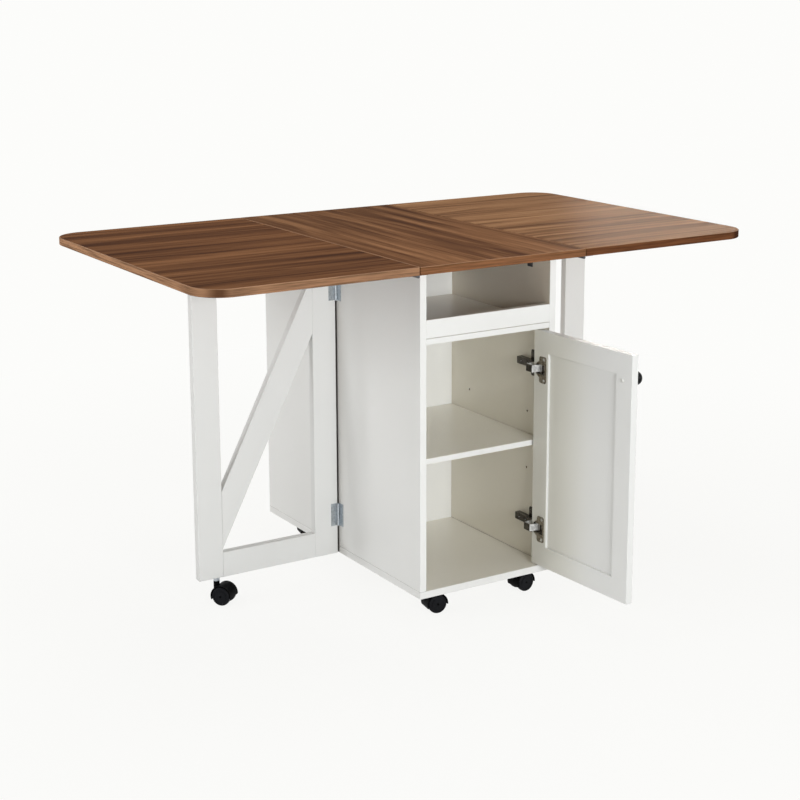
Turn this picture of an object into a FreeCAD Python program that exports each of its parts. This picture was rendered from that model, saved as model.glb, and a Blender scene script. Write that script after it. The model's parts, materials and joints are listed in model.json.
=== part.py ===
import FreeCAD, Part
import math
import os

from FreeCAD import Vector

# Drop-leaf kitchen table on casters, with a storage cabinet under the fixed middle board.
# Millimetres. X runs along the table, Y from the door side to the back, Z up from the floor.
# The origin is on the floor, under the middle of the table.
# The leaves are up, both gate legs stand out sideways under them, and the door is open.

# ---- driving sizes: table top ----
table_length = 1300.0
table_depth = 766.0
table_height = 750.0
top_thickness = 16.0
side_overhang = 33.0
front_overhang = 54.0
seam_gap = 2.4
leaf_corner_radius = 64.0
top_edge_ease = 1.0
seam_edge_ease = 0.5

# ---- driving sizes: cabinet ----
cabinet_width = 330.0
board = 15.0
shelf_board = 12.0
board_ease = 0.6
front_bay_depth = 360.0
top_bay_height = 140.0
lower_bay_height = 270.5
lip_height = 38.0
lip_gap = 0.8
shelf_setback = 23.0
shelf_play = 1.0

# ---- shelf pins and the rows of holes for them ----
pin_radius = 2.5
pin_length = 16.0
pin_in_board = 8.0
hole_depth = 9.0
hole_pitch = 62.0
front_hole_inset = 73.0
back_hole_inset = 70.0

# ---- door ----
door_gap = 3.0
door_floor_gap = 2.5
door_thickness = 16.0
door_open_angle = 93.0
stile_width = 45.0
rail_width = 45.0
panel_thickness = 5.0
panel_tongue = 4.0
panel_play = 0.5
panel_slack = 0.1
door_ease = 0.8
knob_radius = 14.0
knob_reach = 31.0
knob_dome = 10.0
knob_from_edge = 27.0
knob_from_top = 54.0
knob_screw_radius = 2.0
stop_size = (9.0, 12.0, 30.0)
stop_gap = 0.5

# ---- concealed door hinges ----
hinge_from_end = 81.0
pivot_from_edge = 11.5
pivot_behind_face = 6.0
pivot_pin_radius = 1.2
pin_running = 0.05
cup_radius = 17.2
cup_from_edge = 22.5
cup_floor = 2.7
cup_wall = 0.8
cup_play = 0.2
cup_rim = 0.3
cup_mouth_height = 21.0
cup_mouth_far = 35.0
flange_height = 56.0
flange_width = 22.0
flange_from_edge = 28.5
flange_thickness = 1.0
arm_width = 15.0
arm_sheet = 1.5
arm_eye_radius = 2.1
arm_dip_angle = 171.0
arm_dip = 22.0
arm_rise_y = 22.5
arm_channel_depth = 9.0
plate_thickness = 3.0
plate_front = 37.0
plate_back = 95.0
wing_screw_from_front = 53.0
plate_wing_height = 56.0
plate_wing_width = 12.0

# ---- butt hinges of the gates and of the leaves ----
knuckle_radius = 3.0
butt_pin_radius = 1.5
wing_sheet = 1.5
axis_offset = 3.4
knuckle_gap = 0.3
gate_hinge_length = 50.0
gate_wing_width = 16.0
gate_hinge_inset = 89.0
leaf_hinge_length = 36.0
leaf_wing_width = 22.0
leaf_hinge_from_edge = 6.0
leaf_hinge_middle_y = 120.0

# ---- gate legs ----
gate_short_of_edge = 48.0
gate_thickness = 18.0
gate_member = 56.0
gate_rail = 54.0
gate_top_gap = 0.6
gate_end_gap = 3.0
gate_ease = 1.0
brace_foot_gap = 8.0
brace_head_gap = 3.0
gate_caster_inset = 43.0

# ---- brackets, cams and screws ----
bracket_reach = 34.0
bracket_width = 16.0
bracket_sheet = 2.0
bracket_y = 261.0
screw_head_radius = 3.2
screw_head_depth = 1.8
screw_radius = 1.4
screw_length = 11.0
screw_play = 0.12
screw_cross = (1.8, 0.4, 1.0)
cam_radius = 6.0
cam_depth = 8.5
cam_from_side = 24.0
cam_from_edge = 60.0

# ---- casters ----
wheel_radius = 20.0
wheel_width = 10.5
wheel_inner = 8.0
wheel_ease = 3.0
wheel_groove = (12.5, 15.5, 0.8)
axle_radius = 2.5
caster_trail = 17.0
hood_gap = 1.0
hood_wall = 2.2
hood_half = 18.0
hood_from = -5.0
hood_to = 200.0
web_half = 6.2
hub_radius = 6.0
neck_radius = 6.5
neck_over_wheel = 8.0
collar_height = 8.0
collar_gap = 0.3
collar_radius = 6.6
stem_radius = 4.0
stem_running = 0.08
stem_hold = 18.0
stem_in_cabinet = 13.0
stem_in_gate = 30.0
caster_side_inset = 53.0
caster_end_inset = 57.0
rest_swivel = {
    "front_left": -10.0,
    "front_right": 3.0,
    "back_left": -12.0,
    "back_right": 20.0,
    "gate_left": -52.0,
    "gate_right": 40.0,
}

# ---- places worked out from the sizes above ----
X_AXIS = Vector(1, 0, 0)
Y_AXIS = Vector(0, 1, 0)
Z_AXIS = Vector(0, 0, 1)
ORIGIN = Vector(0, 0, 0)
cabinet_depth = table_depth - 2 * front_overhang
centre_width = cabinet_width + 2 * side_overhang
gate_length = table_depth / 2 - gate_short_of_edge
cup_depth = door_thickness - cup_floor
neck_top = 2 * wheel_radius + neck_over_wheel
stem_foot = neck_top - stem_hold
caster_height = neck_top + collar_height
half_width = cabinet_width / 2
inner_x = half_width - board
front_y = -cabinet_depth / 2
back_y = cabinet_depth / 2
base_z = caster_height
floor_z = base_z + board
under_top = table_height - top_thickness
partition_y = front_y + front_bay_depth
rear_bay_y = partition_y + board
upper_shelf_z = under_top - top_bay_height
door_head_z = upper_shelf_z - shelf_board
middle_shelf_z = floor_z + lower_bay_height
pin_z = middle_shelf_z - shelf_board - pin_radius
seam_x = centre_width / 2
leaf_edge_x = seam_x + seam_gap
leaf_axis_x = seam_x + seam_gap / 2
leaf_axis_z = under_top - axis_offset
gate_axis_x = half_width + axis_offset
gate_axis_y = -axis_offset
gate_top = under_top - gate_top_gap
door_low = floor_z + door_floor_gap
door_high = door_head_z - door_gap
door_edge_x = inner_x - door_gap
pivot_x = door_edge_x - pivot_from_edge
pivot_y = front_y + pivot_behind_face
door_hinge_heights = (door_low + hinge_from_end, door_high - hinge_from_end)


def box(x0, x1, y0, y1, z0, z1):
    """A block between two corners, given in either order."""
    low = Vector(min(x0, x1), min(y0, y1), min(z0, z1))
    return Part.makeBox(abs(x1 - x0), abs(y1 - y0), abs(z1 - z0), low)


def rod(radius, start, end):
    """A round bar from one point to another."""
    way = end - start
    return Part.makeCylinder(radius, way.Length, start, way)


def rounded(shape, radius, wanted=lambda edge: True):
    """The shape with the chosen edges rounded over."""
    return shape.makeFillet(radius, [edge for edge in shape.Edges if wanted(edge)])


def eased(shape, size, wanted=lambda edge: True):
    """The shape with the chosen edges broken by a narrow bevel."""
    return shape.makeChamfer(size, [edge for edge in shape.Edges if wanted(edge)])


def slab(x0, x1, y0, y1, z0, z1, ease=board_ease):
    """A board with all its edges eased."""
    return eased(box(x0, x1, y0, y1, z0, z1), ease)


def joined(*shapes):
    """One solid from several that meet or overlap."""
    whole = shapes[0]
    for shape in shapes[1:]:
        whole = whole.fuse(shape)
    return whole.removeSplitter()


def drilled(shape, tools):
    """The shape less each tool."""
    for tool in tools:
        shape = shape.cut(tool)
    return shape


def other_side(shape):
    """The mirror image across the table's middle."""
    return shape.mirror(ORIGIN, X_AXIS)


def along_x(edge):
    """True for a straight edge that runs along X."""
    return abs(edge.BoundBox.YLength) < 1e-6 and abs(edge.BoundBox.ZLength) < 1e-6


def along_z(edge):
    """True for a straight edge that runs along Z."""
    return abs(edge.BoundBox.XLength) < 1e-6 and abs(edge.BoundBox.YLength) < 1e-6


def screw_line(head, into):
    """Where a screw goes: a line from the middle of its head to its tip."""
    return Part.LineSegment(head, head + into * screw_length).toShape()


def along(line, shape):
    """A shape that points up from the origin, carried to a screw's line."""
    head = line.firstVertex().Point
    way = line.lastVertex().Point - head
    return shape.transformed(FreeCAD.Placement(head, FreeCAD.Rotation(Z_AXIS, way)).toMatrix())


def screw_body(play):
    """A countersunk screw pointing up, its flat head at the origin, with some play all round."""
    cone = Part.makeCone(screw_head_radius + play, screw_radius + play, screw_head_depth)
    return joined(cone, Part.makeCylinder(screw_radius + play, screw_length + play))


def screws(lines):
    """The screws along several lines, each with a cross in its head."""
    arm, half, depth = screw_cross
    cross = [box(-arm, arm, -half, half, -1, depth), box(-half, half, -arm, arm, -1, depth)]
    solid = drilled(screw_body(0.0), cross)
    return [along(line, solid) for line in lines]


def holes(lines):
    """The holes for the screws along several lines."""
    hole = screw_body(screw_play)
    return [along(line, hole) for line in lines]


def prism(points, y0, y1):
    """A flat outline in XZ, pushed from y0 to y1."""
    corners = [Vector(x, y0, z) for x, z in points]
    face = Part.Face(Part.makePolygon(corners + corners[:1]))
    return face.extrude(Vector(0, y1 - y0, 0))


# ---- table top ----
def leaf_board(side):
    """A leaf: the outer corners are round and the long edges are eased."""
    end_x = side * table_length / 2
    half = table_depth / 2
    flat = box(side * leaf_edge_x, end_x, -half, half, under_top, table_height)
    shaped = rounded(flat, leaf_corner_radius, lambda e: along_z(e) and abs(e.BoundBox.Center.x - end_x) < 1e-6)

    def on_rim(edge):
        level = edge.BoundBox.ZLength < 1e-6
        return level and abs(edge.BoundBox.Center.x) > leaf_edge_x + 1e-3

    return eased(shaped, top_edge_ease, on_rim)


def centre_board():
    """The fixed middle board, eased on all its edges."""
    half = table_depth / 2
    return slab(-seam_x, seam_x, -half, half, under_top, table_height, seam_edge_ease)


# ---- butt hinges ----
def hinge_wing(length, width, own, other):
    """One wing with its knuckles. The pin runs along Z through the origin.

    The board that carries the wing lies over y = axis_offset, and the wing reaches towards +X.
    own and other are the stretches of the pin, from 0 to 1, that each wing's knuckles hold.
    """
    start = -length / 2
    plate = box(0, width, axis_offset - wing_sheet, axis_offset, start, start + length)
    space = knuckle_radius + knuckle_gap
    for low, high in other:
        foot = start + low * length - knuckle_gap
        head = start + high * length + knuckle_gap
        plate = plate.cut(box(0, space, 0, axis_offset, foot, head))
    for low, high in own:
        foot = Vector(0, 0, start + low * length)
        plate = plate.fuse(Part.makeCylinder(knuckle_radius, (high - low) * length, foot))
    bore = rod(butt_pin_radius + pin_running, Vector(0, 0, -length), Vector(0, 0, length))
    return plate.cut(bore).removeSplitter()


def wing_screws(length, width):
    """The lines of two screws through a wing, into the board over it."""
    across = (knuckle_radius + width) / 2
    heads = [Vector(across, axis_offset - wing_sheet, side * length / 3) for side in (-1, 1)]
    return [screw_line(head, Y_AXIS) for head in heads]


def butt_hinge(length, width):
    """Wing with the end knuckles, wing with the middle one, pin, and the lines of a wing's screws.

    Both wings reach towards +X from the pin, as in a shut hinge laid on one face.
    """
    ends = [(0.0, 0.3), (0.7, 1.0)]
    middle = [(0.3 + knuckle_gap / length, 0.7 - knuckle_gap / length)]
    lines = wing_screws(length, width)
    first = drilled(hinge_wing(length, width, ends, middle), holes(lines))
    second = drilled(hinge_wing(length, width, middle, ends), holes(lines))
    pin = rod(butt_pin_radius, Vector(0, 0, -length / 2), Vector(0, 0, length / 2))
    return first, second, pin, lines


def turned(shape, axis, angle):
    """A copy turned about an axis through the origin."""
    return shape.rotated(ORIGIN, axis, angle)


def placed(shapes, move):
    """Copies of several shapes, each carried by the function move."""
    return [move(shape) for shape in shapes]


def gate_hinges():
    """Left-hand gate hinges: the wings and the screw lines of the panel and the gate, and the pins."""
    first, second, pin, lines = butt_hinge(gate_hinge_length, gate_wing_width)
    found = {"panel": [], "gate": [], "pins": [], "panel_screws": [], "gate_screws": []}
    for height in (base_z + gate_hinge_inset, gate_top - gate_hinge_inset):
        place = Vector(-gate_axis_x, gate_axis_y, height)

        def on_panel(shape):
            return turned(shape, Z_AXIS, -90).translated(place)

        def on_gate(shape):
            return other_side(shape).translated(place)

        found["panel"].append(on_panel(first))
        found["gate"].append(on_gate(second))
        found["pins"].append(pin.translated(place))
        found["panel_screws"] += placed(lines, on_panel)
        found["gate_screws"] += placed(lines, on_gate)
    return found


def leaf_hinges():
    """Left-hand leaf hinges, their pins along Y under the seam, with the lines of their screws."""
    first, second, pin, lines = butt_hinge(leaf_hinge_length, leaf_wing_width)
    found = {"centre": [], "leaf": [], "pins": [], "centre_screws": [], "leaf_screws": []}
    end_y = table_depth / 2 - leaf_hinge_from_edge - leaf_hinge_length / 2
    for along in (-end_y, leaf_hinge_middle_y, end_y):
        place = Vector(-leaf_axis_x, along, leaf_axis_z)

        def on_centre(shape):
            return turned(shape, X_AXIS, 90).translated(place)

        def on_leaf(shape):
            return turned(other_side(shape), X_AXIS, 90).translated(place)

        found["centre"].append(on_centre(first))
        found["leaf"].append(on_leaf(second))
        found["pins"].append(turned(pin, X_AXIS, 90).translated(place))
        found["centre_screws"] += placed(lines, on_centre)
        found["leaf_screws"] += placed(lines, on_leaf)
    return found


# ---- cabinet ----
def bracket(side, end):
    """An angle bracket inside a side panel, under the top, and the lines of its two screws."""
    face_x = side * inner_x
    y0 = end * bracket_y - bracket_width / 2
    y1 = y0 + bracket_width
    upright = box(face_x, face_x - side * bracket_sheet, y0, y1, under_top - bracket_reach, under_top)
    flat = box(face_x, face_x - side * bracket_reach, y0, y1, under_top - bracket_sheet, under_top)
    low = Vector(face_x - side * bracket_sheet, end * bracket_y, under_top - bracket_reach + 7)
    up = Vector(face_x - side * (bracket_reach - 9), end * bracket_y, under_top - bracket_sheet)
    lines = [screw_line(low, X_AXIS * side), screw_line(up, Z_AXIS)]
    return drilled(joined(upright, flat), holes(lines)), lines


def shelf_bays():
    """The two adjustable shelves: the Y of the front and back edge, and of each pin row."""
    front = (front_y + shelf_setback, partition_y - shelf_play)
    rear = (rear_bay_y + shelf_play, back_y - shelf_setback)
    rows = (front_y + front_hole_inset, partition_y - back_hole_inset)
    rear_rows = (rear_bay_y + back_hole_inset, back_y - front_hole_inset)
    return ((front, rows), (rear, rear_rows))


def pin_places():
    """The Y of every row of pin holes."""
    return [y for _, rows in shelf_bays() for y in rows]


def shelf_pin(side, y):
    """A pin in the side panel, under the adjustable shelf."""
    inside = side * (inner_x + pin_in_board)
    return rod(pin_radius, Vector(inside, y, pin_z), Vector(inside - side * pin_length, y, pin_z))


def side_panel(side, tools):
    """A side panel with three rows of pin holes, less the screws that go into it."""
    low_x = side * inner_x
    panel = slab(low_x, side * half_width, front_y, back_y, floor_z, under_top)
    for y in pin_places():
        for level in (-1, 0, 1):
            start = Vector(low_x, y, pin_z + level * hole_pitch)
            depth = pin_in_board if level == 0 else hole_depth
            panel = panel.cut(rod(pin_radius, start, start + X_AXIS * side * depth))
    return drilled(panel, tools)


def cam(side, y):
    """A cam lock let into the underside of a fixed shelf."""
    low = Vector(side * (inner_x - cam_from_side), y, door_head_z)
    disc = Part.makeCylinder(cam_radius, cam_depth, low, Z_AXIS)
    slot = box(low.x - 0.8, low.x + 0.8, y - cam_radius + 1.5, y + cam_radius - 1.5, low.z, low.z + 1.2)
    return disc, disc.cut(slot)


# ---- door, modelled shut and then swung open ----
def swung(shape):
    """The shape as it lies with the door open."""
    return shape.rotated(Vector(pivot_x, pivot_y, 0), Z_AXIS, door_open_angle)


def door_frame():
    """Stiles and rails, grooved for the panel, in one frame and then parted at their joints."""
    left = -door_edge_x
    right = door_edge_x
    outer = box(left, right, front_y, front_y + door_thickness, door_low, door_high)
    window = box(
        left + stile_width,
        right - stile_width,
        front_y - 1,
        front_y + door_thickness + 1,
        door_low + rail_width,
        door_high - rail_width,
    )
    whole = eased(outer.cut(window), door_ease, lambda e: e.BoundBox.YLength < 1e-6)
    panel_y = front_y + (door_thickness - panel_thickness) / 2
    groove = box(
        left + stile_width - panel_tongue - panel_play,
        right - stile_width + panel_tongue + panel_play,
        panel_y - panel_slack,
        panel_y + panel_thickness + panel_slack,
        door_low + rail_width - panel_tongue - panel_play,
        door_high - rail_width + panel_tongue + panel_play,
    )
    whole = whole.cut(groove)
    y0 = front_y - 1
    y1 = front_y + door_thickness + 1
    cuts = {
        "door_stile_hinge": (right - stile_width, right + 1, door_low - 1, door_high + 1),
        "door_stile_free": (left - 1, left + stile_width, door_low - 1, door_high + 1),
        "door_rail_top": (left + stile_width, right - stile_width, door_high - rail_width - 1, door_high + 1),
        "door_rail_bottom": (left + stile_width, right - stile_width, door_low - 1, door_low + rail_width + 1),
    }
    frame = {name: whole.common(box(x0, x1, y0, y1, z0, z1)) for name, (x0, x1, z0, z1) in cuts.items()}
    frame["door_panel"] = box(
        left + stile_width - panel_tongue,
        right - stile_width + panel_tongue,
        panel_y,
        panel_y + panel_thickness,
        door_low + rail_width - panel_tongue,
        door_high - rail_width + panel_tongue,
    )
    return frame


def hinge_cup(height):
    """A door hinge's cup with its flange, its pin, its screw lines, and the hole for the cup."""
    inner_y = front_y + door_thickness
    centre = Vector(door_edge_x - cup_from_edge, inner_y, height)
    down = Vector(0, -1, 0)
    body = Part.makeCylinder(cup_radius, cup_depth, centre, down)
    hole = Part.makeCylinder(cup_radius + cup_play, cup_depth, centre, down)
    rim = Part.makeCylinder(cup_radius + cup_rim, flange_thickness, centre, Y_AXIS)
    flange_x = door_edge_x - flange_from_edge
    flange = box(
        flange_x - flange_width / 2,
        flange_x + flange_width / 2,
        inner_y,
        inner_y + flange_thickness,
        height - flange_height / 2,
        height + flange_height / 2,
    )
    flange = rounded(flange, 5.0, lambda e: abs(e.BoundBox.YLength - flange_thickness) < 1e-6)
    floor_y = inner_y - cup_depth + cup_wall
    bore = Part.makeCylinder(cup_radius - cup_wall, 2 * cup_depth, Vector(centre.x, floor_y, height), Y_AXIS)
    mouth = box(
        door_edge_x - cup_mouth_far,
        door_edge_x,
        inner_y - cup_depth,
        inner_y + cup_depth,
        height - cup_mouth_height / 2,
        height + cup_mouth_height / 2,
    )
    inside = bore.common(mouth)
    half = math.sqrt(cup_radius ** 2 - (pivot_x + pivot_pin_radius - centre.x) ** 2)
    pin = rod(pivot_pin_radius, Vector(pivot_x, pivot_y, height - half), Vector(pivot_x, pivot_y, height + half))
    screw_x = flange_x - flange_width / 2 + 7
    lines = [
        screw_line(Vector(screw_x, inner_y + flange_thickness, height + side * (flange_height / 2 - 6)), down)
        for side in (-1, 1)
    ]
    shell = joined(body, rim, flange).cut(inside).cut(pin)
    return drilled(shell, holes(lines)), pin, lines, hole


def strip(points, z0, z1):
    """Bent sheet in plan, from the middle line through points, as thick as the hinge arm."""
    pieces = []
    for here, there in zip(points, points[1:]):
        way = (there - here).normalize()
        side = Vector(-way.y, way.x, 0) * (arm_sheet / 2)
        corners = [here + side, there + side, there - side, here - side]
        corners = [Vector(c.x, c.y, z0) for c in corners]
        face = Part.Face(Part.makePolygon(corners + corners[:1]))
        pieces.append(face.extrude(Vector(0, 0, z1 - z0)))
    for point in points[1:-1]:
        foot = Vector(point.x, point.y, z0)
        pieces.append(Part.makeCylinder(arm_sheet / 2, z1 - z0, foot))
    return joined(*pieces)


def hinge_arm(height):
    """The fixed arm: an eye round the cup's pin, a hooked neck, and a channel on the plate."""
    z0 = height - arm_width / 2
    z1 = height + arm_width / 2
    pivot = Vector(pivot_x, pivot_y, 0)
    dip = math.radians(arm_dip_angle)
    low = pivot + Vector(math.cos(dip), math.sin(dip), 0) * arm_dip
    high = Vector(low.x, pivot_y + arm_rise_y, 0)
    channel_x = inner_x - plate_thickness - arm_channel_depth
    end = Vector(channel_x + arm_sheet / 2, high.y + 4, 0)
    neck = strip([pivot, low, high, end], z0, z1)
    eye = Part.makeCylinder(arm_eye_radius, arm_width, Vector(pivot_x, pivot_y, z0))
    channel_y0 = end.y - 0.8
    channel_y1 = front_y + plate_back
    channel = box(channel_x, inner_x - plate_thickness, channel_y0, channel_y1, z0, z1)
    hollow = box(channel_x + arm_sheet, inner_x, channel_y0 + arm_sheet, channel_y1 + 1, z0 + arm_sheet, z1 - arm_sheet)
    arm = joined(neck, eye, channel.cut(hollow))
    bore = rod(pivot_pin_radius + pin_running, Vector(pivot_x, pivot_y, z0 - 1), Vector(pivot_x, pivot_y, z1 + 1))
    screws = []
    for from_front in (0.45, 0.8):
        y = channel_y0 + from_front * (channel_y1 - channel_y0)
        screws.append(Part.makeCylinder(2.6, 3.0, Vector(channel_x - 1.0, y, height), X_AXIS))
    return drilled(arm, [bore] + screws), screws


def hinge_mount(height):
    """The plate on the side panel, with a wing above and below, and the lines of its screws."""
    inside = inner_x - plate_thickness
    z0 = height - arm_width / 2 + arm_sheet + 0.2
    z1 = height + arm_width / 2 - arm_sheet - 0.2
    bar = box(inside - 3.0, inner_x, front_y + plate_front, front_y + plate_back - 3, z0, z1)
    base = box(inside, inner_x, front_y + plate_front, front_y + plate_back, height - arm_width / 2, z1 + arm_sheet + 0.2)
    wing_y = front_y + wing_screw_from_front
    wing = box(
        inner_x - plate_thickness / 2,
        inner_x,
        wing_y - plate_wing_width / 2,
        wing_y + plate_wing_width / 2,
        height - plate_wing_height / 2,
        height + plate_wing_height / 2,
    )
    wing = rounded(wing, 4.0, lambda e: abs(e.BoundBox.XLength - plate_thickness / 2) < 1e-6)
    heads = [
        Vector(inner_x - plate_thickness / 2, wing_y, height + side * (plate_wing_height / 2 - 6)) for side in (-1, 1)
    ]
    lines = [screw_line(head, X_AXIS) for head in heads]
    return drilled(joined(bar, base, wing), holes(lines)), lines


def door_knob():
    """A round knob on the door's outer face, and the screw that holds it from behind."""
    x = -door_edge_x + knob_from_edge
    z = door_high - knob_from_top
    levels = [(0.60, 0.0), (0.50, 0.28), (0.92, 0.48), (1.0, 0.56)]
    turning = Part.makeCylinder(knob_radius, 0.44 * knob_reach, Vector(0, 0, 0.56 * knob_reach))
    for (wide0, up0), (wide1, up1) in zip(levels, levels[1:]):
        foot = Vector(0, 0, up0 * knob_reach)
        cone = Part.makeCone(wide0 * knob_radius, wide1 * knob_radius, (up1 - up0) * knob_reach, foot)
        turning = turning.fuse(cone)
    ball_radius = (knob_radius ** 2 + knob_dome ** 2) / (2 * knob_dome)
    ball = Part.makeSphere(ball_radius, Vector(0, 0, knob_reach - ball_radius))
    knob = turned(turning.common(ball), X_AXIS, 90).translated(Vector(x, front_y, z))
    inner_y = front_y + door_thickness
    shank = rod(knob_screw_radius, Vector(x, inner_y, z), Vector(x, front_y - knob_reach * 0.5, z))
    head = Part.makeCylinder(4.0, 2.0, Vector(x, inner_y, z), Y_AXIS)
    head = rounded(head, 0.8, lambda e: abs(e.BoundBox.Center.y - inner_y - 2.0) < 1e-6 and e.BoundBox.ZLength > 1)
    slot = box(x - 3.0, x + 3.0, inner_y + 1.2, inner_y + 3, z - 0.4, z + 0.4)
    other_slot = box(x - 0.4, x + 0.4, inner_y + 1.2, inner_y + 3, z - 3.0, z + 3.0)
    return knob.cut(shank), drilled(joined(shank, head), [slot, other_slot]), shank


# ---- gate leg, left-hand ----
def gate_members():
    """Stiles, rails and the slanting brace of the left gate, all in one plane."""
    inner_end = -(half_width + gate_end_gap)
    outer_end = -(half_width + gate_length)
    inner_edge = inner_end - gate_member
    outer_edge = outer_end + gate_member
    rail_top = base_z + gate_rail
    head_rail = gate_top - gate_rail
    y1 = gate_thickness
    parts = {
        "outer_stile": eased(box(outer_end, outer_edge, 0, y1, base_z, gate_top), gate_ease),
        "inner_stile": eased(box(inner_edge, inner_end, 0, y1, base_z, gate_top), gate_ease),
        "top_rail": eased(box(outer_edge, inner_edge, 0, y1, head_rail, gate_top), gate_ease, along_x),
        "bottom_rail": eased(box(outer_edge, inner_edge, 0, y1, base_z, rail_top), gate_ease, along_x),
    }
    width = inner_edge - outer_edge
    rise = head_rail - rail_top - brace_foot_gap - brace_head_gap
    wide2 = width ** 2 - gate_member ** 2
    member2 = gate_member ** 2
    root = math.sqrt((member2 * rise) ** 2 + wide2 * member2 * (width ** 2 + rise ** 2))
    cut_length = (root - member2 * rise) / wide2
    foot = rail_top + brace_foot_gap
    head = head_rail - brace_head_gap
    outline = [
        (outer_edge, foot),
        (inner_edge, head - cut_length),
        (inner_edge, head),
        (outer_edge, foot + cut_length),
    ]
    brace = prism(outline, 0, y1)
    parts["brace"] = eased(brace, gate_ease, lambda e: e.BoundBox.XLength > width - 1 and e.BoundBox.YLength < 1e-6)
    return parts


# ---- casters ----
def caster(stem_reach):
    """Stem, housing, axle and two wheels. The stem stands at the origin, wheels towards +X."""
    axle_x = caster_trail
    axle_z = wheel_radius

    def drum(radius, y0, y1):
        return rod(radius, Vector(axle_x, y0, axle_z), Vector(axle_x, y1, axle_z))

    hood_inner = wheel_radius + hood_gap
    hood_outer = hood_inner + hood_wall
    far = 3 * wheel_radius
    steps = 12
    rays = [math.radians(hood_from + (hood_to - hood_from) * n / steps) for n in range(steps + 1)]
    fan = [(axle_x, axle_z)] + [(axle_x + far * math.cos(a), axle_z + far * math.sin(a)) for a in rays]
    sector = prism(fan, -far, far)
    hood = drum(hood_outer, -hood_half, hood_half).cut(drum(hood_inner, -far, far)).common(sector)
    web = drum(hood_inner + 0.5, -web_half, web_half).common(sector)
    hub = drum(hub_radius, -web_half, web_half)
    neck = Part.makeCylinder(neck_radius, neck_top - wheel_radius, Vector(0, 0, wheel_radius))
    axle_half = wheel_inner + wheel_width - 1.0
    axle = drum(axle_radius, -axle_half, axle_half)
    socket = Part.makeCylinder(stem_radius + stem_running, neck_top, Vector(0, 0, stem_foot))
    housing = joined(hood, web, hub, neck).cut(socket).cut(axle)

    collar_foot = neck_top + collar_gap
    pin = Part.makeCylinder(stem_radius, caster_height + stem_reach - stem_foot - 0.5, Vector(0, 0, stem_foot + 0.5))
    collar = Part.makeCylinder(collar_radius, caster_height - collar_foot, Vector(0, 0, collar_foot))
    collar = rounded(collar, 0.5)
    stem = joined(pin, collar)

    wheels = []
    for side in (-1, 1):
        inner = side * wheel_inner
        outer = side * (wheel_inner + wheel_width)
        disc = rounded(drum(wheel_radius, inner, outer), wheel_ease)
        low, high, depth = wheel_groove
        groove = drum(high, outer - side * depth, outer).cut(drum(low, inner, outer))
        wheels.append(disc.cut(groove).cut(drum(axle_radius + pin_running, inner, outer)))
    return {"stem": stem, "housing": housing, "axle": axle, "wheels": wheels}


def set_down(shape, x, y, angle):
    """A caster piece at its place under the table."""
    return turned(shape, Z_AXIS, angle).translated(Vector(x, y, 0))


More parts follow.
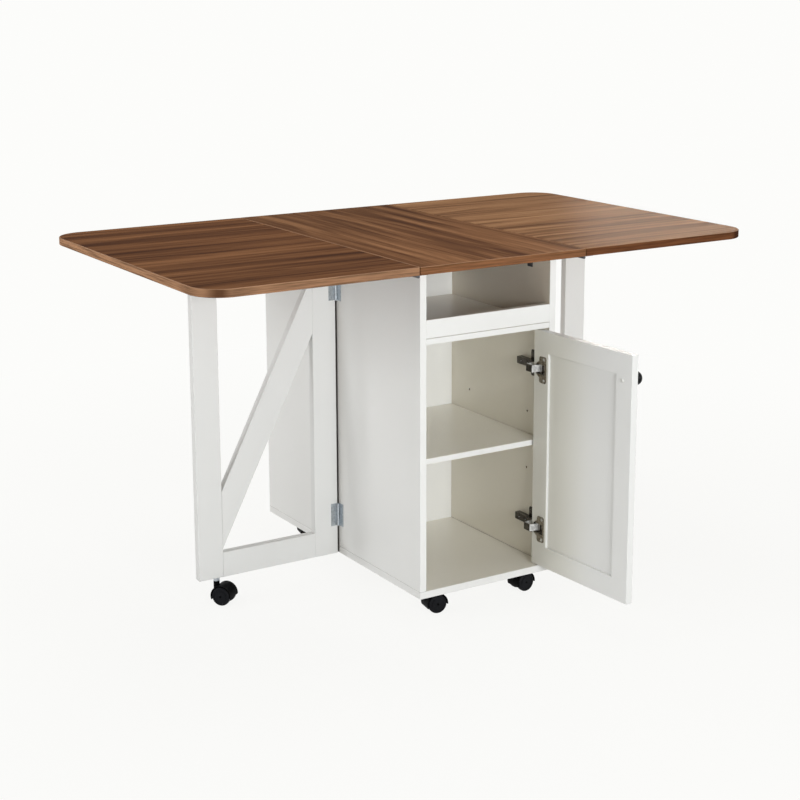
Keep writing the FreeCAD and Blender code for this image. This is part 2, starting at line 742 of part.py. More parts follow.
# ---- the whole table ----
def build():
    """Every node by name: one solid, or a list of solids that share a node."""
    nodes = {}
    gate = gate_hinges()
    leaf = leaf_hinges()

    brackets = []
    panel_lines = {-1: gate["panel_screws"], 1: placed(gate["panel_screws"], other_side)}
    top_lines = leaf["centre_screws"] + placed(leaf["centre_screws"], other_side)
    bracket_lines = []
    for side in (-1, 1):
        for end in (-1, 1):
            piece, lines = bracket(side, end)
            brackets.append(piece)
            bracket_lines += lines
            panel_lines[side] = panel_lines[side] + lines[:1]
            top_lines = top_lines + lines[1:]

    arms = []
    mounts = []
    cups = []
    cup_tools = []
    for height in door_hinge_heights:
        arm, set_screws = hinge_arm(height)
        mount, mount_lines = hinge_mount(height)
        shell, pin, cup_lines, hole = hinge_cup(height)
        arms.append(arm)
        mounts += [drilled(mount, set_screws)] + screws(mount_lines) + set_screws
        panel_lines[1] = panel_lines[1] + mount_lines
        cups += [shell, pin] + screws(cup_lines)
        cup_tools += [hole] + holes(cup_lines)
    nodes["door_hinge_arms"] = arms
    nodes["door_hinge_mounts"] = mounts

    for side, name in ((-1, "left"), (1, "right")):
        nodes[f"side_panel_{name}"] = side_panel(side, holes(panel_lines[side]))
    cabinet_stem = caster(stem_in_cabinet)
    gate_stem = caster(stem_in_gate)
    places = {
        "front_left": (-half_width + caster_side_inset, front_y + caster_end_inset),
        "front_right": (half_width - caster_side_inset, front_y + caster_end_inset),
        "back_left": (-half_width + caster_side_inset, back_y - caster_end_inset),
        "back_right": (half_width - caster_side_inset, back_y - caster_end_inset),
        "gate_left": (-(half_width + gate_length - gate_caster_inset), gate_thickness / 2),
        "gate_right": (half_width + gate_length - gate_caster_inset, gate_thickness / 2),
    }
    stems = []
    for name, (x, y) in places.items():
        kit = gate_stem if name.startswith("gate") else cabinet_stem
        angle = rest_swivel[name]
        stem = set_down(kit["stem"], x, y, angle)
        if name.startswith("gate"):
            nodes[f"caster_stem_{name}"] = stem
        else:
            stems.append(stem)
        nodes[f"caster_housing_{name}"] = [set_down(kit[part], x, y, angle) for part in ("housing", "axle")]
        nodes[f"caster_wheels_{name}"] = [set_down(wheel, x, y, angle) for wheel in kit["wheels"]]
    nodes["caster_stems"] = stems
    bottom = slab(-half_width, half_width, front_y, back_y, base_z, floor_z)
    nodes["bottom_panel"] = drilled(bottom, stems)

    nodes["partition"] = slab(-inner_x, inner_x, partition_y, rear_bay_y, floor_z, under_top)
    cam_holes = []
    cams = []
    shelf_edges = {
        "upper_shelf_front": (front_y, partition_y),
        "upper_shelf_rear": (rear_bay_y, back_y),
    }
    for name, (y0, y1) in shelf_edges.items():
        for side in (-1, 1):
            for y in (y0 + cam_from_edge, y1 - cam_from_edge):
                hole, lock = cam(side, y)
                cam_holes.append(hole)
                cams.append(lock)
        shelf = slab(-inner_x, inner_x, y0, y1, door_head_z, upper_shelf_z)
        nodes[name] = drilled(shelf, cam_holes)
    nodes["cam_locks"] = cams
    lip_foot = upper_shelf_z + lip_gap
    nodes["lip_rail"] = slab(-inner_x, inner_x, front_y, front_y + board, lip_foot, upper_shelf_z + lip_height)
    for name, ((y0, y1), _) in zip(("front", "rear"), shelf_bays()):
        reach = inner_x - shelf_play
        low = middle_shelf_z - shelf_board
        nodes[f"middle_shelf_{name}"] = slab(-reach, reach, y0, y1, low, middle_shelf_z)
    nodes["shelf_pins"] = [shelf_pin(side, y) for side in (-1, 1) for y in pin_places()]
    nodes["top_brackets"] = brackets
    nodes["bracket_screws"] = screws(bracket_lines)
    stop_x, stop_y, stop_z = stop_size
    stop_front = front_y + door_thickness + stop_gap
    stop_low = door_high - knob_from_top - stop_z / 2
    nodes["door_stop"] = eased(
        box(-inner_x, -inner_x + stop_x, stop_front, stop_front + stop_y, stop_low, stop_low + stop_z), board_ease
    )

    nodes["top_centre"] = drilled(centre_board(), holes(top_lines))
    centre_parts = leaf["centre"] + screws(leaf["centre_screws"])
    nodes["leaf_hinge_fixed_wings"] = centre_parts + placed(centre_parts, other_side)
    nodes["leaf_hinge_pins"] = leaf["pins"] + placed(leaf["pins"], other_side)
    panel_parts = gate["panel"] + screws(gate["panel_screws"])
    nodes["gate_hinge_fixed_wings"] = panel_parts + placed(panel_parts, other_side)
    nodes["gate_hinge_pins"] = gate["pins"] + placed(gate["pins"], other_side)

    members = gate_members()
    for side, name in ((-1, "left"), (1, "right")):
        same = (lambda shape: shape) if side < 0 else other_side
        leaf_lines = placed(leaf["leaf_screws"], same)
        nodes[f"leaf_{name}"] = drilled(leaf_board(side), holes(leaf_lines))
        nodes[f"leaf_hinge_wings_{name}"] = placed(leaf["leaf"], same) + screws(leaf_lines)
        gate_lines = placed(gate["gate_screws"], same)
        stem = nodes[f"caster_stem_gate_{name}"]
        for part, shape in members.items():
            piece = same(shape)
            if part == "inner_stile":
                piece = drilled(piece, holes(gate_lines))
            if part == "outer_stile":
                piece = drilled(piece, [stem])
            nodes[f"gate_{part}_{name}"] = piece
        nodes[f"gate_hinge_wings_{name}"] = placed(gate["gate"], same) + screws(gate_lines)

    knob, knob_screw, knob_shank = door_knob()
    frame = door_frame()
    frame["door_stile_hinge"] = drilled(frame["door_stile_hinge"], cup_tools)
    frame["door_stile_free"] = frame["door_stile_free"].cut(knob_shank)
    for name, shape in frame.items():
        nodes[name] = swung(shape)
    nodes["door_hinge_cups"] = placed(cups, swung)
    nodes["door_knob"] = swung(knob)
    nodes["knob_screw"] = swung(knob_screw)
    return nodes


def write(nodes):
    """One STEP file for each node."""
    os.makedirs("parts", exist_ok=True)
    for name, shape in sorted(nodes.items()):
        whole = Part.makeCompound(shape) if isinstance(shape, list) else shape
        whole.exportStep(f"parts/{name}.step")


write(build())
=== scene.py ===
import json
import math

import bpy
from mathutils import Matrix, Vector


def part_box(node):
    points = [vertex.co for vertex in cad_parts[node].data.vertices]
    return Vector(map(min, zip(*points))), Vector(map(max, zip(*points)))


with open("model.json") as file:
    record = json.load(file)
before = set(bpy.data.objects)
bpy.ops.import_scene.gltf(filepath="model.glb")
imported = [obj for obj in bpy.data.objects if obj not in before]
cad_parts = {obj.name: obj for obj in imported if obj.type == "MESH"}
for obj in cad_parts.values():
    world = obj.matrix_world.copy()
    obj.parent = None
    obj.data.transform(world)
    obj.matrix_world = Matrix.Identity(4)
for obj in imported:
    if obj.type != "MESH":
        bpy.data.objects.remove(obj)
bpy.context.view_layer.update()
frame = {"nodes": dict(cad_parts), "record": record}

# A drop-leaf kitchen table on casters, with a white storage cabinet under its middle board.
# Metres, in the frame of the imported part: +X along the table, +Y to the back, +Z up.
MM = 0.001
BLACK = (0.0, 0.0, 0.0, 1.0)


# ---- node trees ----
class Term:
    """A number in a node tree. Arithmetic with terms adds the nodes that do it."""

    def __init__(self, tree, socket):
        self.tree = tree
        self.socket = socket

    def __add__(self, other):
        return self.tree.math("ADD", self, other)

    def __radd__(self, other):
        return self.tree.math("ADD", other, self)

    def __sub__(self, other):
        return self.tree.math("SUBTRACT", self, other)

    def __rsub__(self, other):
        return self.tree.math("SUBTRACT", other, self)

    def __mul__(self, other):
        return self.tree.math("MULTIPLY", self, other)

    def __rmul__(self, other):
        return self.tree.math("MULTIPLY", other, self)

    def __abs__(self):
        return self.tree.math("ABSOLUTE", self)


# Blender's Mix node has a set of sockets for each kind of value. These are the ones for colours.
MIX_SHARE, MIX_FIRST, MIX_SECOND, MIX_COLOUR = 0, 6, 7, 2


class Tree:
    """An emptied node tree, with short ways to add what a finish needs."""

    def __init__(self, tree):
        self.nodes = tree.nodes
        self.links = tree.links
        self.nodes.clear()

    def plug(self, socket, value):
        """Puts a term, a socket or a constant into an input."""
        if isinstance(value, Term):
            value = value.socket
        if isinstance(value, bpy.types.NodeSocket):
            self.links.new(value, socket)
        else:
            socket.default_value = value

    def node(self, kind, settings=None, **inputs):
        """Adds a node, with its settings and what goes into its named inputs."""
        made = self.nodes.new(kind)
        for setting, value in (settings or {}).items():
            setattr(made, setting, value)
        for name, value in inputs.items():
            self.plug(made.inputs[name.replace("_", " ")], value)
        return made

    def math(self, operation, *values):
        """A term worked out from one, two or three values."""
        made = self.node("ShaderNodeMath", {"operation": operation})
        for socket, value in zip(made.inputs, values):
            self.plug(socket, value)
        return Term(self, made.outputs[0])

    def distance(self, first, second):
        """How far a place is, from how far it is along two directions."""
        return self.math("SQRT", first * first + second * second)

    def smooth(self, value, low, high):
        """Goes gently from 0 to 1 as value goes from low to high, either way round."""
        made = self.node("ShaderNodeMapRange", {"interpolation_type": "SMOOTHSTEP"}, Value=value)
        falls = low > high
        made.inputs["From Min"].default_value = min(low, high)
        made.inputs["From Max"].default_value = max(low, high)
        made.inputs["To Min"].default_value = float(falls)
        made.inputs["To Max"].default_value = float(not falls)
        return Term(self, made.outputs["Result"])

    def point(self, x, y, z):
        """A vector made of three terms or numbers."""
        return self.node("ShaderNodeCombineXYZ", X=x, Y=y, Z=z).outputs["Vector"]

    def noise(self, where, scale=1.0, detail=2.0, roughness=0.5):
        """Soft noise, mostly between 0.3 and 0.7, with scale waves to each unit of where."""
        made = self.node(
            "ShaderNodeTexNoise", Vector=where, Scale=scale, Detail=detail, Roughness=roughness
        )
        return Term(self, made.outputs["Fac"])

    def mix(self, share, first, second):
        """A colour between first and second."""
        made = self.node("ShaderNodeMix", {"data_type": "RGBA"})
        self.plug(made.inputs[MIX_SHARE], share)
        self.plug(made.inputs[MIX_FIRST], first)
        self.plug(made.inputs[MIX_SECOND], second)
        return made.outputs[MIX_COLOUR]

    def ramp(self, value, stops):
        """A colour that goes through the stops, (position, colour) each."""
        made = self.node("ShaderNodeValToRGB", Fac=value)
        elements = made.color_ramp.elements
        made.color_ramp.interpolation = "EASE"
        while len(elements) < len(stops):
            elements.new(0.5)
        for element, (position, colour) in zip(elements, stops):
            element.position = position
            element.color = colour
        return made.outputs["Color"]

    def blend(self, share, first, second):
        """A shader between first and second."""
        made = self.node("ShaderNodeMixShader", Fac=share)
        self.links.new(first, made.inputs[1])
        self.links.new(second, made.inputs[2])
        return made.outputs["Shader"]

    def sees_background(self):
        """1 for rays that look at a background or mirror it, 0 for those that carry its light."""
        rays = self.node("ShaderNodeLightPath").outputs
        straight, mirrored, passed = [
            Term(self, rays[name])
            for name in ("Is Camera Ray", "Is Glossy Ray", "Is Transmission Ray")
        ]
        return self.math("MINIMUM", straight + mirrored + passed, 1.0)


class Finish(Tree):
    """A material with one principled shader, and the terms for a place on the piece."""

    def __init__(self, name, **constants):
        self.material = bpy.data.materials.new(name)
        self.material.use_nodes = True
        super().__init__(self.material.node_tree)
        self.shader = self.node("ShaderNodeBsdfPrincipled", **constants)
        self.output = self.node("ShaderNodeOutputMaterial", Surface=self.shader.outputs["BSDF"])
        spot = self.node("ShaderNodeTexCoord")
        self.place = spot.outputs["Object"]
        self.x, self.y, self.z = self.parts(self.place)
        self.facing = self.parts(spot.outputs["Normal"])

    def parts(self, vector):
        """The three parts of a vector, as terms."""
        made = self.node("ShaderNodeSeparateXYZ", Vector=vector)
        return [Term(self, made.outputs[axis]) for axis in "XYZ"]

    def set(self, socket, value):
        """Feeds one of the shader's inputs."""
        self.plug(self.shader.inputs[socket], value)

    def bump(self, height, strength, distance):
        """Raises the surface by the height."""
        made = self.node("ShaderNodeBump", Height=height, Strength=strength, Distance=distance)
        self.set("Normal", made.outputs["Normal"])


def linear(red, green, blue):
    """A colour from its usual 0 to 255 values, by the sRGB curve."""

    def one(value):
        value /= 255
        return value / 12.92 if value <= 0.04045 else ((value + 0.055) / 1.055) ** 2.4

    return (one(red), one(green), one(blue), 1.0)


def shaded(colour, share):
    """A colour made darker or paler, by one share or by one for red, green and blue each."""
    shares = share if isinstance(share, tuple) else (share, share, share)
    return tuple(part * change for part, change in zip(colour, shares)) + (1.0,)


# ---- sizes that the finishes follow ----
TOP_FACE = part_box("top_centre")[1].z
TOP_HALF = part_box("top_centre")[1].y
TOP_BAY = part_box("upper_shelf_front")[1].z
GATE_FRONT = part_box("gate_inner_stile_left")[0].y
GATE_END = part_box("gate_inner_stile_left")[1].x
SIDE_FACE = -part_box("side_panel_left")[1].x
CABINET_SIDE = -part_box("side_panel_left")[0].x
CABINET_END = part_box("side_panel_left")[1].y
SIDE_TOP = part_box("side_panel_left")[1].z
BASE_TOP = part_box("bottom_panel")[1].z
BAND_WIDTH = 1.3 * MM
LEAF_CORNER_RADIUS = 64 * MM
SQUARE_CORNER_RADIUS = 2 * MM
DOOR_WARM_FROM = -520 * MM
CUP_SCREWS_ACROSS = -344.5 * MM
CUP_SCREW_HEIGHTS = (132.5 * MM, 176.5 * MM, 476.0 * MM, 520.0 * MM)
SCREW_HEAD_RADIUS = 2.9 * MM


# ---- wood-look laminate ----
# The printed grain from dark to light, (tone, colour) each.
WOOD_TONES = (
    (0.26, linear(74, 45, 28)),
    (0.42, linear(97, 64, 41)),
    (0.54, linear(118, 81, 54)),
    (0.72, linear(141, 101, 70)),
)
# An edge band's streaks from dark to light, (tone, share of its colour) each.
BAND_SHADES = ((0.42, 0.62), (0.50, 1.0), (0.58, 1.34))
PORES = linear(62, 39, 26)
# A painted highlight for the bands' top edges.
BAND_EDGE_HIGHLIGHT = linear(190, 152, 122)
# A painted shade for the bands' corners.
CORNER_PAINTED_SHADE = (0.20, 0.15, 0.11)


def grain(finish, across, run, drift, contrast):
    """The laminate's printed grain, from 0 for dark to 1 for light, and its pores.

    The grain runs along run. Growth rings lie across it: each goes slowly from light to dark
    and ends at a sharp edge. drift picks another part of the noise for each board.
    """

    def drawn_out(per_metre, per_metre_along, step, detail=2.0, roughness=0.5):
        """Noise with so many waves to a metre across the grain and along it."""
        where = finish.point(across * per_metre, run * per_metre_along, drift + step)
        return finish.noise(where, 1.0, detail, roughness)

    # The whole grain bends by a few centimetres.
    across = across + (drawn_out(4.0, 0.9, 0.0) - 0.5) * 0.035
    wide = drawn_out(24.0, 1.0, 3.0)
    # About 26 rings to a metre, which wander and are strong only in places.
    wander = drawn_out(8.0, 1.5, 5.0)
    ring = finish.math("FRACT", across * 26.0 + wander * 3.0 + drift)
    dark_side = finish.smooth(ring, 0.10, 0.75) * finish.smooth(ring, 1.0, 0.80)
    strength = finish.smooth(drawn_out(22.0, 2.6, 9.0, roughness=0.6), 0.35, 0.68)
    streak = drawn_out(90.0, 2.2, 7.0, 3.0, 0.6)
    fine = drawn_out(380.0, 6.0, 11.0, roughness=0.6)
    change = (
        (wide - 0.5) * 1.05
        - (dark_side - 0.35) * strength * 0.22
        + (streak - 0.5) * 0.50
        + (fine - 0.5) * 0.34
    )
    tone = 0.5 + change * contrast
    pores = drawn_out(900.0, 26.0, 13.0)
    return tone, finish.smooth(pores, 0.56, 0.72)


def band_finish(finish, drift, colour, edge_highlight):
    """The colour of an edge band: streaked, with painted shade on its faces that look to the front
    and round its corners, and a painted highlight along its top edge.
    """
    around = finish.x + finish.y
    streak = finish.noise(finish.point(around * 9.0, finish.z * 240.0, drift), 1.0, 3.0, 0.6)
    fine = finish.noise(finish.point(around * 10.0, finish.z * 1100.0, drift + 5.0))
    stops = [(tone, shaded(colour, share)) for tone, share in BAND_SHADES]
    band = finish.ramp(streak * 0.72 + fine * 0.30, stops)
    # Painted shade: the band's faces that look to the front are made darker.
    in_front = finish.smooth(finish.facing[1], -0.4, -0.9)
    band = finish.mix(in_front * 0.3, band, shaded(colour, 0.3))
    # Painted shade where the band turns round a corner.
    turned = abs(finish.facing[0])
    in_corner = finish.smooth(turned, 0.12, 0.42) * finish.smooth(turned, 0.86, 0.5)
    band = finish.mix(in_corner * 0.8, band, shaded(colour, CORNER_PAINTED_SHADE))
    # Painted highlight along the band's top edge, where the light catches its chamfer.
    on_bevel = finish.smooth(finish.z, TOP_FACE - 1.1 * MM, TOP_FACE - 0.5 * MM)
    return finish.mix(on_bevel * edge_highlight, band, BAND_EDGE_HIGHLIGHT)


def top_finish(node, side, along, drift, tint, contrast, back_shade, band_colour, edge_highlight):
    """A board of the table top, with printed grain on its faces and a band round its edges.

    side is -1 or 1 for the left or right leaf and 0 for the middle board, along is the axis of
    its grain. tint and contrast are the grain's. The board takes a painted shade towards its
    back, and its band a painted highlight along its top edge, by the amounts given.
    """
    finish = Finish(
        f"walnut {node}", Specular_IOR_Level=0.0, Coat_Weight=0.06, Coat_Roughness=0.34
    )
    across, run = (finish.y, finish.x) if along == "x" else (finish.x, finish.y)
    tone, pores = grain(finish, across, run, drift, contrast)
    face = finish.ramp(tone, [(place, shaded(colour, tint)) for place, colour in WOOD_TONES])
    face = finish.mix(pores * 0.4, face, PORES)
    # Painted shade: the board is darker towards the back.
    if back_shade:
        to_back = finish.smooth(finish.y, -TOP_HALF, TOP_HALF)
        face = finish.mix(to_back * back_shade, face, BLACK)

    # The outline in plan. Only a leaf's outer corners are round, so its outline is carried on
    # past the seam.
    low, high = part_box(node)
    centre = (low + high) / 2
    reach = (high - low) / 2
    corner = LEAF_CORNER_RADIUS if side else SQUARE_CORNER_RADIUS
    centre.x -= side * corner
    reach.x += corner * abs(side)
    # How far inside the outline a point is.
    out_x = finish.math("MAXIMUM", abs(finish.x - centre.x) - (reach.x - corner), 0.0)
    out_y = finish.math("MAXIMUM", abs(finish.y - centre.y) - (reach.y - corner), 0.0)
    inside = corner - finish.distance(out_x, out_y)
    on_band = finish.smooth(inside, BAND_WIDTH + 0.2 * MM, BAND_WIDTH - 0.2 * MM)
    band = band_finish(finish, drift, band_colour, edge_highlight)
    finish.set("Base Color", finish.mix(on_band, face, band))

    wear = finish.noise(finish.place, 9.0, 3.0)
    finish.set("Roughness", 0.5 + (wear - 0.5) * 0.12 + pores * 0.1)
    finish.bump(tone * 0.4 - pores * 0.8, 0.14, 0.4 * MM)
    return finish.material


# ---- white boards ----
GRIME = (0.5, 0.48, 0.42, 1)
# Painted shade for the joints.
JOINT_PAINTED_SHADE = (0.10, 0.085, 0.065, 1)
# Painted shade for the open bay at the top.
TOP_BAY_PAINTED_SHADE = (0.42, 0.24, 0.09, 1)
GATE_SHADE = (0.30, 0.24, 0.16, 1)
# Painted shade for the gap beside the gate legs.
GAP_PAINTED_SHADE = (0.03, 0.02, 0.012, 1)
# Painted shade for the gate stile's end in that gap.
END_PAINTED_SHADE = (0.05, 0.033, 0.02, 1)


def skin(finish, roughness):
    """A faint waviness and a fine skin, with a little change of gloss. Returns its grime."""
    patch = finish.noise(finish.place, 2.3, 3.0)
    fine = finish.noise(finish.place, 700.0)
    wave = finish.noise(finish.place, 40.0)
    finish.set("Roughness", roughness + (patch - 0.5) * 0.10 + (fine - 0.5) * 0.08)
    finish.bump(fine * 0.35 + wave * 0.65, 0.07, 0.4 * MM)
    return finish.smooth(patch, 0.7, 0.3) * 0.04


def board_finish(name, outer, inner, shelf, raw, top_bay_shade=0.17):
    """Faced chipboard of the cabinet.

    outer is its facing outside; inner is a warmer painted shade for its faces inside, and shelf a
    paler painted light for the upward faces inside. raw is the bare board in its holes. The last
    argument is how much painted shade darkens the open bay at the top.
    """
    finish = Finish(name, IOR=1.5)
    grime = skin(finish, 0.31)
    beside = abs(finish.x)
    behind = abs(finish.y)
    edge_face = finish.smooth(abs(finish.facing[1]), 0.6, 0.9)
    within = finish.smooth(beside, SIDE_FACE + 9 * MM, SIDE_FACE + 7 * MM)
    within = within * finish.smooth(behind, CABINET_END - 0.4 * MM, CABINET_END - 1 * MM)
    # Painted light: the shelves' upper faces are paler than the walls.
    upward = finish.smooth(finish.facing[2], 0.6, 0.9)
    inner = finish.mix(upward, inner, shelf)
    # Painted warm shade: the faces inside the cabinet, but not the front edges, take the warmer
    # inner colour.
    colour = finish.mix(within * (1.0 - edge_face), outer, inner)

    # Raw chipboard, seen only in the holes of the side panels.
    crumbs = finish.noise(finish.place, 900.0, 3.0, 0.7)
    in_side = finish.smooth(beside, SIDE_FACE + 0.4 * MM, SIDE_FACE + 1 * MM)
    in_side = in_side * finish.smooth(beside, CABINET_SIDE - 0.4 * MM, CABINET_SIDE - 1 * MM)
    in_side = in_side * finish.smooth(behind, CABINET_END - 1.4 * MM, CABINET_END - 2 * MM)
    in_side = in_side * finish.smooth(finish.z, BASE_TOP + 1 * MM, BASE_TOP + 2 * MM)
    in_side = in_side * finish.smooth(finish.z, SIDE_TOP - 1 * MM, SIDE_TOP - 2 * MM)
    colour = finish.mix(in_side, colour, finish.mix(crumbs, shaded(raw, 0.5), raw))

    # Painted shade lies along the shelf ends, and where the sides stand on the bottom.
    along_end = upward * finish.smooth(beside, SIDE_FACE - 0.8 * MM, SIDE_FACE - 0.4 * MM)
    along_end = along_end * finish.smooth(beside, SIDE_FACE + 0.6 * MM, SIDE_FACE + 0.2 * MM)
    foot = finish.smooth(abs(finish.z - BASE_TOP), 0.5 * MM, 0.2 * MM)
    foot = foot * finish.smooth(beside, SIDE_FACE, SIDE_FACE + 1 * MM)
    joint_shade = finish.math("MAXIMUM", along_end * 0.8, foot * 0.7)
    colour = finish.mix(joint_shade, colour, JOINT_PAINTED_SHADE)

    # Painted shade: the open bay at the top is darker and warmer, less so on its upward faces.
    in_bay = finish.smooth(finish.z, TOP_BAY - 1 * MM, TOP_BAY + 1 * MM) * within
    in_bay = in_bay * (top_bay_shade - upward * 0.6 * top_bay_shade)
    colour = finish.mix(in_bay, colour, TOP_BAY_PAINTED_SHADE)

    # A grey-brown painted shade beside the gate legs' hinges, and a dark painted shade line in
    # their gap.
    outside = finish.smooth(beside, CABINET_SIDE - 0.6 * MM, CABINET_SIDE - 0.2 * MM)
    near_gate = finish.smooth(finish.y, GATE_FRONT - 60 * MM, GATE_FRONT)
    near_gate = near_gate * finish.smooth(finish.y, GATE_FRONT + 20 * MM, GATE_FRONT)
    colour = finish.mix(outside * near_gate * 0.14, colour, GATE_SHADE)
    in_gap = finish.smooth(finish.y, GATE_FRONT - 1 * MM, GATE_FRONT)
    in_gap = in_gap * finish.smooth(finish.y, GATE_FRONT + 9 * MM, GATE_FRONT + 5 * MM)
    colour = finish.mix(outside * in_gap * 0.9, colour, GAP_PAINTED_SHADE)
    finish.set("Base Color", finish.mix(grime, colour, GRIME))
    return finish.material


def paint_finish(name, colour, warm_from=None, shaded_end=None):
    """White lacquer of the door and the gate legs.

    Its face to the left takes a warm painted shade from warm_from to the back. Past the given end
    it takes a dark brown painted shade, for the gap beside the cabinet.
    """
    finish = Finish(name, IOR=1.45)
    grime = skin(finish, 0.42)
    if warm_from is not None:
        # Painted warm shade on the face to the left, near the hinge.
        warmth = finish.smooth(finish.y, warm_from, warm_from + 140 * MM)
        warmth = warmth * finish.smooth(finish.facing[0], -0.3, -0.9)
        colour = finish.mix(warmth, colour, shaded(colour, (1.0, 0.985, 0.915)))
    if shaded_end is not None:
        # Painted shade: past the end the stile is dark brown, for the shade in the gap beside the
        # cabinet.
        past = finish.smooth(finish.x, shaded_end - 1.2 * MM, shaded_end - 0.6 * MM)
        colour = finish.mix(past, colour, END_PAINTED_SHADE)
    finish.set("Base Color", finish.mix(grime, colour, GRIME))
    return finish.material


# ---- metal and plastic ----
def metal_finish(
    name, colour, roughness, brushed, clouded=0.82, metallic=1.0, front=None, heads=None
):
    """Plated steel, with fine brushed lines and clouded patches.

    clouded is how bright the patches are, 1 for as bright as the rest. front is the colour of a
    painted highlight on faces that look to the front. heads gives where bright screw heads are, in
    y and in z, and their colour, which is partly their own plating and partly a painted glint.
    """
    finish = Finish(name, Metallic=metallic)
    cloud = finish.noise(finish.place, 170.0, 3.0, 0.6)
    lines = finish.noise(finish.point(finish.x * 1800.0, finish.y * 1800.0, finish.z * 90.0))
    if front:
        # Painted highlight: faces that look to the front take a pale, less metallic colour.
        in_front = finish.smooth(finish.facing[1], -0.6, -0.9)
        colour = finish.mix(in_front, colour, front)
        finish.set("Metallic", 1.0 - in_front * 0.75)
    if heads:
        across, heights, bright = heads
        nearest = 1.0
        for height in heights:
            down = finish.z - height
            nearest = finish.math("MINIMUM", nearest, down * down)
        sideways = finish.y - across
        away = finish.math("SQRT", nearest + sideways * sideways)
        # Bright from the rim to the recess in its middle: partly the screws' own plating, partly a
        # painted glint.
        on_head = finish.smooth(away, SCREW_HEAD_RADIUS + 0.5 * MM, SCREW_HEAD_RADIUS)
        on_head = on_head * finish.smooth(away, 0.4 * MM, 1.4 * MM)
        colour = finish.mix(on_head, colour, bright)
        finish.set("Metallic", 1.0 - on_head * 0.6)
    shade = finish.mix(0.5, colour, BLACK)
    patches = finish.smooth(cloud, 0.68, 0.32) * (2.0 - 2.0 * clouded)
    finish.set("Base Color", finish.mix(patches, colour, shade))
    finish.set("Roughness", roughness + (cloud - 0.5) * 0.16 + (lines - 0.5) * brushed)
    finish.bump(lines, 0.10 * brushed + 0.02, 0.2 * MM)
    return finish.material


def black_finish(name, colour, roughness, per_metre, ior=1.2):
    """Moulded black plastic or enamel, with scuffs and a grain of per_metre waves to a metre."""
    finish = Finish(name, IOR=ior)
    fine = finish.noise(finish.place, per_metre)
    scuff = finish.noise(finish.place, 60.0, 4.0, 0.65)
    worn = finish.smooth(scuff, 0.52, 0.72) * 0.5
    finish.set("Base Color", finish.mix(worn, colour, shaded(colour, 2.0)))
    finish.set("Roughness", roughness + (fine - 0.5) * 0.12 + worn * 0.12)
    finish.bump(fine, 0.10, 0.2 * MM)
    return finish.material


# ---- which finish each node gets ----
LACQUER = (0.73, 0.732, 0.72, 1)
FACING = (0.785, 0.785, 0.77, 1)
# Painted light: the partition's facing is paler than the other boards'.
PARTITION_PAINTED_LIGHT = (0.87, 0.87, 0.85, 1)
# Painted warm shade for the walls inside, and painted light for the shelves' upper faces.
WALL_PAINTED_SHADE, SHELF_PAINTED_LIGHT, RAW_BOARD = (0.80, 0.76, 0.66, 1), (0.90, 0.87, 0.79, 1), linear(150, 118, 84)
NICKEL = (0.36, 0.33, 0.285, 1)
# A painted highlight for the hinge arms' front faces.
FRONT_HIGHLIGHT = (0.86, 0.86, 0.84, 1)
SCREW_PLATING_AND_GLINT = (0.80, 0.80, 0.77, 1)

# The middle board's and the right leaf's paler tints are partly the boards' own tone and partly
# painted sheen, for the light they catch.
top_finishes = {
    "leaf_left": top_finish(
        "leaf_left", -1, "x", drift=0.0, tint=(0.98, 0.90, 0.81), contrast=1.0, back_shade=0.0,
        band_colour=linear(156, 117, 88), edge_highlight=0.45,
    ),
    "top_centre": top_finish(
        "top_centre", 0, "y", drift=4.0, tint=(1.39, 1.39, 1.36), contrast=1.0, back_shade=0.26,
        band_colour=linear(136, 93, 63), edge_highlight=0.50,
    ),
    "leaf_right": top_finish(
        "leaf_right", 1, "x", drift=8.0, tint=(1.92, 2.15, 2.26), contrast=0.72, back_shade=0.12,
        band_colour=linear(107, 67, 42), edge_highlight=0.50,
    ),
}
# The finish that goes with each material of the part.
finishes = {
    "white_board": board_finish("white board", FACING, WALL_PAINTED_SHADE, SHELF_PAINTED_LIGHT, RAW_BOARD),
    "white_paint": paint_finish("white paint", LACQUER),
    "zinc": metal_finish("zinc plate", (0.50, 0.54, 0.575, 1), 0.32, 0.5),
    "nickel": metal_finish("nickel plate", NICKEL, 0.27, 0.2, 0.75),
    "black_plastic": black_finish("black plastic", (0.0042, 0.0045, 0.006, 1), 0.42, 900.0),
    "black_knob": black_finish("black enamel", (0.003, 0.003, 0.0035, 1), 0.30, 500.0),
}
dark_steel = metal_finish("dark steel", (0.10, 0.105, 0.115, 1), 0.36, 0.4)
arm_steel = metal_finish("arm steel", (0.10, 0.092, 0.08, 1), 0.24, 0.2, 0.65, front=FRONT_HIGHLIGHT)
cup_steel = metal_finish(
    "cup steel", NICKEL, 0.27, 0.2, 0.75, heads=(CUP_SCREWS_ACROSS, CUP_SCREW_HEIGHTS, SCREW_PLATING_AND_GLINT)
)
bare_screw = metal_finish("bare screw", (0.80, 0.80, 0.78, 1), 0.35, 0.3, metallic=0.45)
door_paint = paint_finish("door paint", LACQUER, warm_from=DOOR_WARM_FROM)
gate_end_paint = paint_finish("gate stile paint", LACQUER, shaded_end=GATE_END)
hood_plastic = black_finish("hood plastic", (0.0012, 0.0012, 0.0014, 1), 0.5, 900.0, 1.12)
# The partition's facing is paler than the other boards', as painted light.
partition_board = board_finish(
    "partition board", PARTITION_PAINTED_LIGHT, WALL_PAINTED_SHADE, SHELF_PAINTED_LIGHT, RAW_BOARD, top_bay_shade=0.0
)
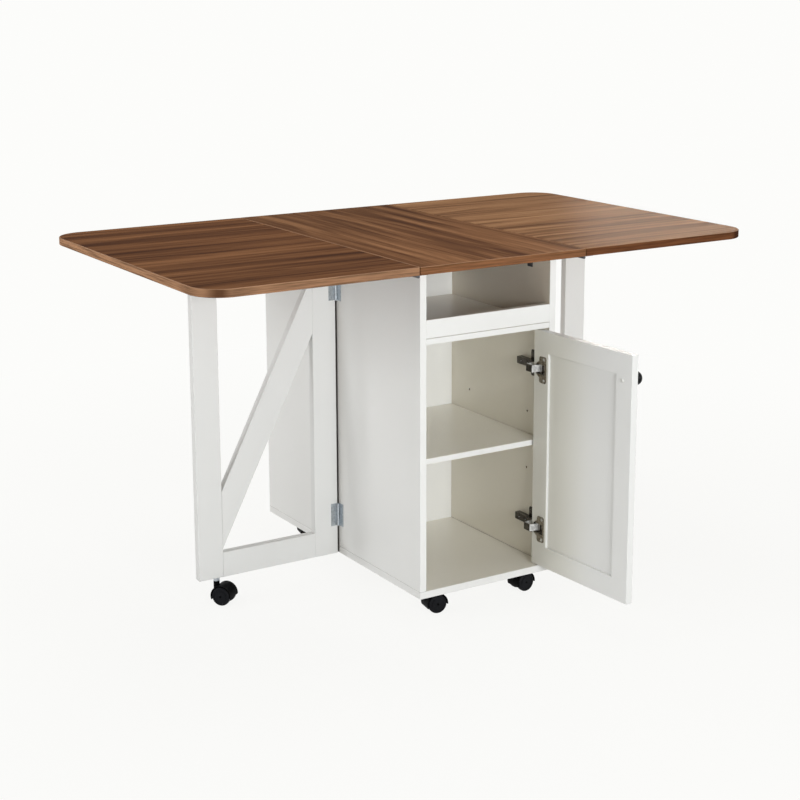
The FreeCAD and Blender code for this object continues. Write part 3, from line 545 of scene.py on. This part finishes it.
# Nodes with a finish that isn't their material's.
leaf_hinges = ("leaf_hinge_fixed_wings", "leaf_hinge_wings_left", "leaf_hinge_wings_right")
door_frame = ("door_stile_hinge", "door_stile_free", "door_rail_top", "door_rail_bottom")
casters = ("front_left", "front_right", "back_left", "back_right", "gate_left", "gate_right")
own_finishes = {
    **top_finishes,
    **dict.fromkeys(leaf_hinges, dark_steel),
    **dict.fromkeys(("leaf_hinge_pins", "top_brackets", "bracket_screws"), dark_steel),
    **dict.fromkeys(("door_hinge_arms", "door_hinge_mounts"), arm_steel),
    **dict.fromkeys(door_frame, door_paint),
    **{f"caster_housing_{caster}": hood_plastic for caster in casters},
    "door_panel": door_paint,
    "door_hinge_cups": cup_steel,
    "knob_screw": bare_screw,
    "gate_inner_stile_left": gate_end_paint,
    "partition": partition_board,
}

slots = {part["node"]: part["material_slot"] for part in frame["record"]["subparts"]}
for node, thing in frame["nodes"].items():
    thing.data.materials.clear()
    thing.data.materials.append(own_finishes.get(node) or finishes[slots[node]])


# ---- floor, light and air ----
def soft_light(name, place, target, size, power, colour=(1, 1, 1)):
    """A soft box of so many watts that points at target."""
    lamp = bpy.data.lights.new(name, "AREA")
    lamp.shape = "RECTANGLE"
    lamp.size, lamp.size_y = size
    lamp.energy = power
    lamp.color = colour
    thing = bpy.data.objects.new(name, lamp)
    thing.location = place
    thing.rotation_euler = (Vector(target) - Vector(place)).to_track_quat("-Z", "Y").to_euler()
    thing.visible_camera = False
    bpy.context.scene.collection.objects.link(thing)


COOL = (0.97, 0.99, 1.0)
SUNNY = (1.0, 0.94, 0.87)
TABLE = (0, 0, 0.4)

soft_light("front box", (-0.8, -4.55, 1.3), TABLE, (1.8, 0.8), 112, COOL)
soft_light("front right box", (2.6, -3.8, 1.5), TABLE, (1.8, 1.8), 24, COOL)
soft_light("left box", (-4.3, 0.7, 1.7), TABLE, (1.8, 1.8), 70, COOL)
soft_light("overhead box", (0.2, 0.3, 4.0), (0, 0, 0.7), (2.4, 2.4), 47)
soft_light("back right box", (4.32, 3.44, 1.5), (0.3, 0, 0.75), (1.8, 0.8), 98, SUNNY)
soft_light("back box", (-1.5, 4.6, 2.2), TABLE, (1.8, 1.8), 40)

# The light of the air, and the white that the floor and the air show as a background.
AIR_COLOUR = (1.0, 0.955, 0.87, 1)
AIR_STRENGTH = 0.215
WHITE = (1.0, 1.0, 0.983, 1)
WHITE_STRENGTH = 0.975
FLOOR_SIZE = 60
FLOOR_DARK, FLOOR_PALE = (0.90, 0.90, 0.90, 1), (0.93, 0.93, 0.93, 1)
# The share of white in the floor's look near the table, and where it starts and ends to rise.
NEAR_WHITE = 0.91
WHITE_FROM, WHITE_TO = 0.7, 2.2

bpy.ops.mesh.primitive_plane_add(size=FLOOR_SIZE, location=(0, 0, 0))
floor = bpy.context.object
floor.name = "floor"
pale = Finish("pale floor", Roughness=0.8, Specular_IOR_Level=0.0)
pale.set("Base Color", pale.mix(pale.noise(pale.place, 1.5, 3.0), FLOOR_DARK, FLOOR_PALE))
# Near the table the floor keeps a share of its lit look, which shows the table's shadow.
farther = pale.smooth(pale.distance(pale.x, pale.y), WHITE_FROM, WHITE_TO)
whitened = NEAR_WHITE + farther * (1.0 - NEAR_WHITE)
white = pale.node("ShaderNodeEmission", Color=WHITE, Strength=WHITE_STRENGTH)
seen = pale.blend(
    whitened * pale.sees_background(), pale.shader.outputs["BSDF"], white.outputs["Emission"]
)
pale.plug(pale.output.inputs["Surface"], seen)
floor.data.materials.append(pale.material)

world = bpy.data.worlds.new("studio air")
bpy.context.scene.world = world
world.use_nodes = True
air = Tree(world.node_tree)
dim = air.node("ShaderNodeBackground", Color=AIR_COLOUR, Strength=AIR_STRENGTH)
bright = air.node("ShaderNodeBackground", Color=WHITE, Strength=WHITE_STRENGTH)
sky = air.blend(air.sees_background(), dim.outputs["Background"], bright.outputs["Background"])
air.node("ShaderNodeOutputWorld", Surface=sky)

# ---- camera ----
CAMERA_PLACE = (-1.8442703, -2.9608512, 1.2976279)
HEADING, DOWN, ROLL = -0.5554, 0.2093, -0.0031

camera = bpy.data.objects.new("camera", bpy.data.cameras.new("camera"))
bpy.context.scene.collection.objects.link(camera)
camera.data.sensor_width = 36.0
camera.data.lens = 73.73
camera.data.shift_y = -0.1
camera.data.clip_end = 200.0
turn = (
    Matrix.Rotation(HEADING, 4, "Z")
    @ Matrix.Rotation(math.pi / 2 - DOWN, 4, "X")
    @ Matrix.Rotation(ROLL, 4, "Z")
)
camera.matrix_world = Matrix.Translation(CAMERA_PLACE) @ turn
bpy.context.scene.camera = camera
bpy.context.scene.view_settings.view_transform = "Standard"
